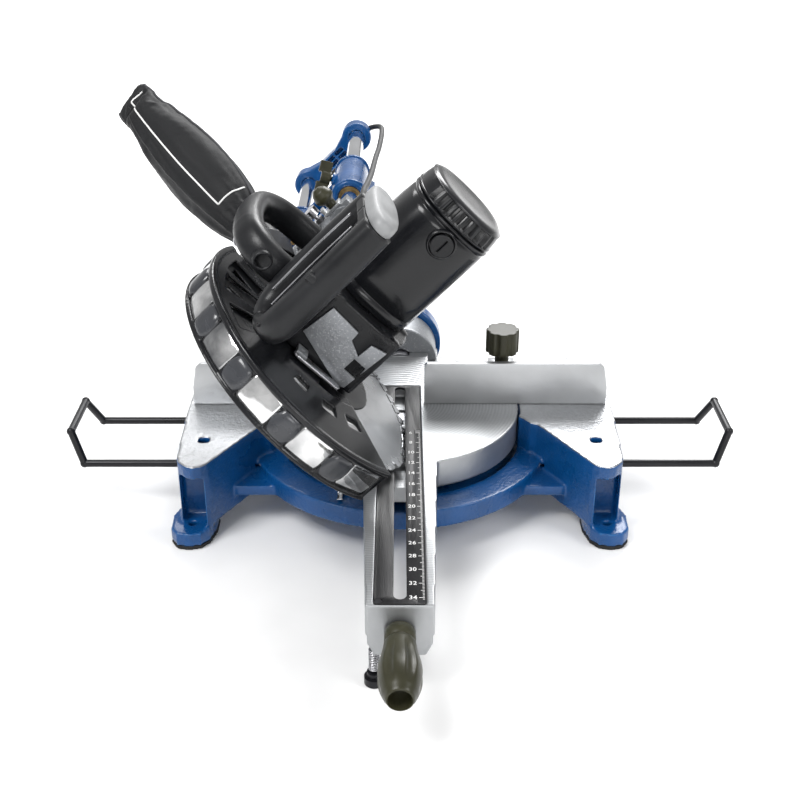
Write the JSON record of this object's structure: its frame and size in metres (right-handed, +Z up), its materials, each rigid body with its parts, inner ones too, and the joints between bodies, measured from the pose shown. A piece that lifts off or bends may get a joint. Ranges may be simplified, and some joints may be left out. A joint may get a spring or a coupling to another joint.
{
  "type": "sliding compound mitre saw",
  "caption": "Sliding compound mitre saw on its own cast base: turntable, split fence, twin slide rails, head tilted left, retracting blade guard, D handle and dust bag.",
  "frame": {"origin": "on the bench plane below the turntable's axis, centre of the four foot bolt holes", "axes": "+X to the operator's right along the fence, +Y from the operator to the rear along the rails, +Z up; head tilted 45 degrees to the left, mitre at zero, head down"},
  "size_m": [0.6972, 1.012, 0.3932],
  "materials": {
    "blue_cast": "aluminium casting under semi-gloss blue paint",
    "silver_cast": "satin, machined table and arm",
    "fence_alu": "machined face, cast ribs",
    "grey_cast": "grey aluminium casting",
    "steel": "ground steel",
    "chrome": "polished",
    "dark_steel": "blackened steel",
    "black_paint": "aluminium casting under black powder coat",
    "black_plastic": "fine-grained black",
    "gloss_black": "glossy black",
    "olive_plastic": "olive-brown grip plastic",
    "grey_plastic": "light grey",
    "clear_plastic": "clear guard windows",
    "rubber": "matt",
    "bag_fabric": "woven black polyester",
    "bronze": "oilless bronze",
    "copper": "wound copper and laminations",
    "carbon": "carbon",
    "blade_steel": "bright blade steel",
    "lead_pvc": "black flexible sheath"
  },
  "bodies": {
    "base": {"base_casting": "blue_cast", "rubber_feet": "rubber", "fence_left": "fence_alu", "fence_right": "fence_alu", "fence_bolts": "dark_steel", "pivot_bolt": "steel"},
    "fence_clamp": {"fence_knob": "olive_plastic"},
    "bar_left": {"extension_bar_left": "dark_steel"},
    "bar_right": {"extension_bar_right": "dark_steel"},
    "screw_left": {"bar_screw_left": "dark_steel"},
    "screw_right": {"bar_screw_right": "dark_steel"},
    "table": {"turntable": "silver_cast", "kerf_insert": "black_plastic", "insert_screws": "dark_steel", "mitre_pointer": "chrome", "bevel_housing": "grey_cast", "bevel_shaft": "steel"},
    "mitre_lock": {"mitre_lock_handle": "olive_plastic", "mitre_lock_rod": "steel"},
    "foot": {"support_foot": "dark_steel"},
    "bevel_lock": {"bevel_lock_lever": "olive_plastic"},
    "tilt_arm": {"bevel_arm": "blue_cast", "rail_bushings": "bronze"},
    "rail_lock": {"rail_lock_knob": "olive_plastic"},
    "slider": {"slide_rails": "chrome", "rear_bracket": "blue_cast", "carriage": "grey_cast", "chop_pin": "steel", "return_spring": "dark_steel", "power_lead": "lead_pvc", "lead_winding": "lead_pvc", "plug": "rubber"},
    "depth_screw": {"depth_stop_screw": "steel"},
    "stop_plate": {"depth_stop_plate": "fence_alu"},
    "stop_clamp": {"stop_clamp_knob": "olive_plastic"},
    "head": {"gear_case": "black_paint", "upper_guard": "black_paint", "motor_housing": "gloss_black", "motor_end_cap": "gloss_black", "brush_caps": "black_plastic", "carbon_brushes": "carbon", "stator": "copper", "ball_bearings": "steel", "guard_bracket": "grey_cast", "handle_body": "black_plastic", "handle_grip": "black_plastic", "handle_end_cap": "grey_plastic", "carry_handle": "black_plastic", "dust_port": "black_plastic", "dust_bag": "bag_fabric"},
    "motor_rotor": {"armature": "copper"},
    "arbor": {"spindle": "steel", "blade": "blade_steel", "blade_flanges": "steel", "arbor_bolt": "dark_steel"},
    "guard": {"lower_guard": "gloss_black", "guard_windows": "clear_plastic"},
    "link": {"guard_link": "steel"},
    "trigger_body": {"trigger": "black_plastic"},
    "lock_off": {"lock_off_button": "black_plastic"}
  },
  "joints": [
    {"name": "mitre_swing", "type": "hinge", "parent": "base", "child": "table", "pos_m": [0, 0, 0], "axis": [0, 0, 1], "range_deg": [-45, 45]},
    {"name": "mitre_lock_turn", "type": "hinge", "parent": "table", "child": "mitre_lock", "pos_m": [0, -0.36, 0.064], "axis": [0, 1, 0], "range_deg": [-180, 180]},
    {"name": "support_foot_height", "type": "slide", "parent": "table", "child": "foot", "axis": [0, 0, 1], "range_m": [0, 0.015]},
    {"name": "bevel_tilt", "type": "hinge", "parent": "table", "child": "tilt_arm", "pos_m": [0, 0, 0.09], "axis": [0, 1, 0], "range_deg": [0, 45]},
    {"name": "bevel_lock_swing", "type": "hinge", "parent": "table", "child": "bevel_lock", "pos_m": [0, 0.204, 0.09], "axis": [0, 1, 0], "range_deg": [-40, 40]},
    {"name": "rail_slide", "type": "slide", "parent": "tilt_arm", "child": "slider", "axis": [0, 1, 0], "range_m": [-0.14, 0.06]},
    {"name": "rail_lock_turn", "type": "hinge", "parent": "tilt_arm", "child": "rail_lock", "pos_m": [-0.05798, 0.24, 0.25829], "axis": [-0.9659, 0, 0.2588], "range_deg": [-180, 180]},
    {"name": "head_chop", "type": "hinge", "parent": "slider", "child": "head", "pos_m": [-0.11314, 0.086, 0.20314], "axis": [-0.7071, 0, -0.7071], "range_deg": [0, 38], "deforming": ["power_lead"]},
    {"name": "depth_screw_turn", "type": "hinge", "parent": "slider", "child": "depth_screw", "pos_m": [-0.08768, 0.114, 0.25688], "axis": [-0.7071, 0, 0.7071], "range_deg": [-180, 180]},
    {"name": "stop_plate_swing", "type": "hinge", "parent": "slider", "child": "stop_plate", "pos_m": [-0.07212, 0.116, 0.27243], "axis": [-0.7071, 0, 0.7071], "range_deg": [0, 80]},
    {"name": "stop_clamp_turn", "type": "hinge", "parent": "slider", "child": "stop_clamp", "pos_m": [-0.07212, 0.116, 0.27243], "axis": [-0.7071, 0, 0.7071], "range_deg": [-180, 180]},
    {"name": "lower_guard_swing", "type": "hinge", "parent": "head", "child": "guard", "pos_m": [-0.08202, -0.08, 0.17202], "axis": [0.7071, 0, 0.7071], "range_deg": [0, 100]},
    {"name": "guard_link_swing", "type": "hinge", "parent": "head", "child": "link", "pos_m": [-0.09426, -0.131, 0.2107], "axis": [0.7071, 0, 0.7071], "range_deg": [-16, 0]},
    {"name": "blade_spin", "type": "hinge", "parent": "head", "child": "arbor", "pos_m": [-0.08202, -0.08, 0.17202], "axis": [0.7071, 0, 0.7071], "continuous": true},
    {"name": "armature_spin", "type": "hinge", "parent": "head", "child": "motor_rotor", "pos_m": [-0.09051, -0.055, 0.18051], "axis": [0.7071, 0, 0.7071], "continuous": true},
    {"name": "trigger_pull", "type": "slide", "parent": "head", "child": "trigger_body", "axis": [0.0616, -0.9962, -0.0616], "range_m": [0, 0.006], "stiffness_N_per_m": 900, "springref_m": -0.002},
    {"name": "lock_off_press", "type": "slide", "parent": "head", "child": "lock_off", "axis": [0.7044, 0.0872, -0.7044], "range_m": [0, 0.0024], "stiffness_N_per_m": 900, "springref_m": -0.001},
    {"name": "left_bar_slide", "type": "slide", "parent": "base", "child": "bar_left", "axis": [-1, 0, 0], "range_m": [-0.09, 0.025]},
    {"name": "right_bar_slide", "type": "slide", "parent": "base", "child": "bar_right", "axis": [1, 0, 0], "range_m": [-0.09, 0.025]},
    {"name": "left_screw_turn", "type": "hinge", "parent": "base", "child": "screw_left", "pos_m": [-0.212, -0.054, 0.03], "axis": [0, 0, 1], "range_deg": [-180, 180]},
    {"name": "right_screw_turn", "type": "hinge", "parent": "base", "child": "screw_right", "pos_m": [0.212, -0.054, 0.03], "axis": [0, 0, 1], "range_deg": [-180, 180]},
    {"name": "fence_knob_turn", "type": "hinge", "parent": "base", "child": "fence_clamp", "pos_m": [0.11, 0.03, 0.14], "axis": [0, 0, 1], "range_deg": [-180, 180]}
  ],
  "couplings": [
    {"joint": "lower_guard_swing", "follows": "head_chop", "ratio": 2.6},
    {"joint": "guard_link_swing", "follows": "head_chop", "ratio": -0.4},
    {"joint": "armature_spin", "follows": "blade_spin", "ratio": -3.1212}
  ]
}
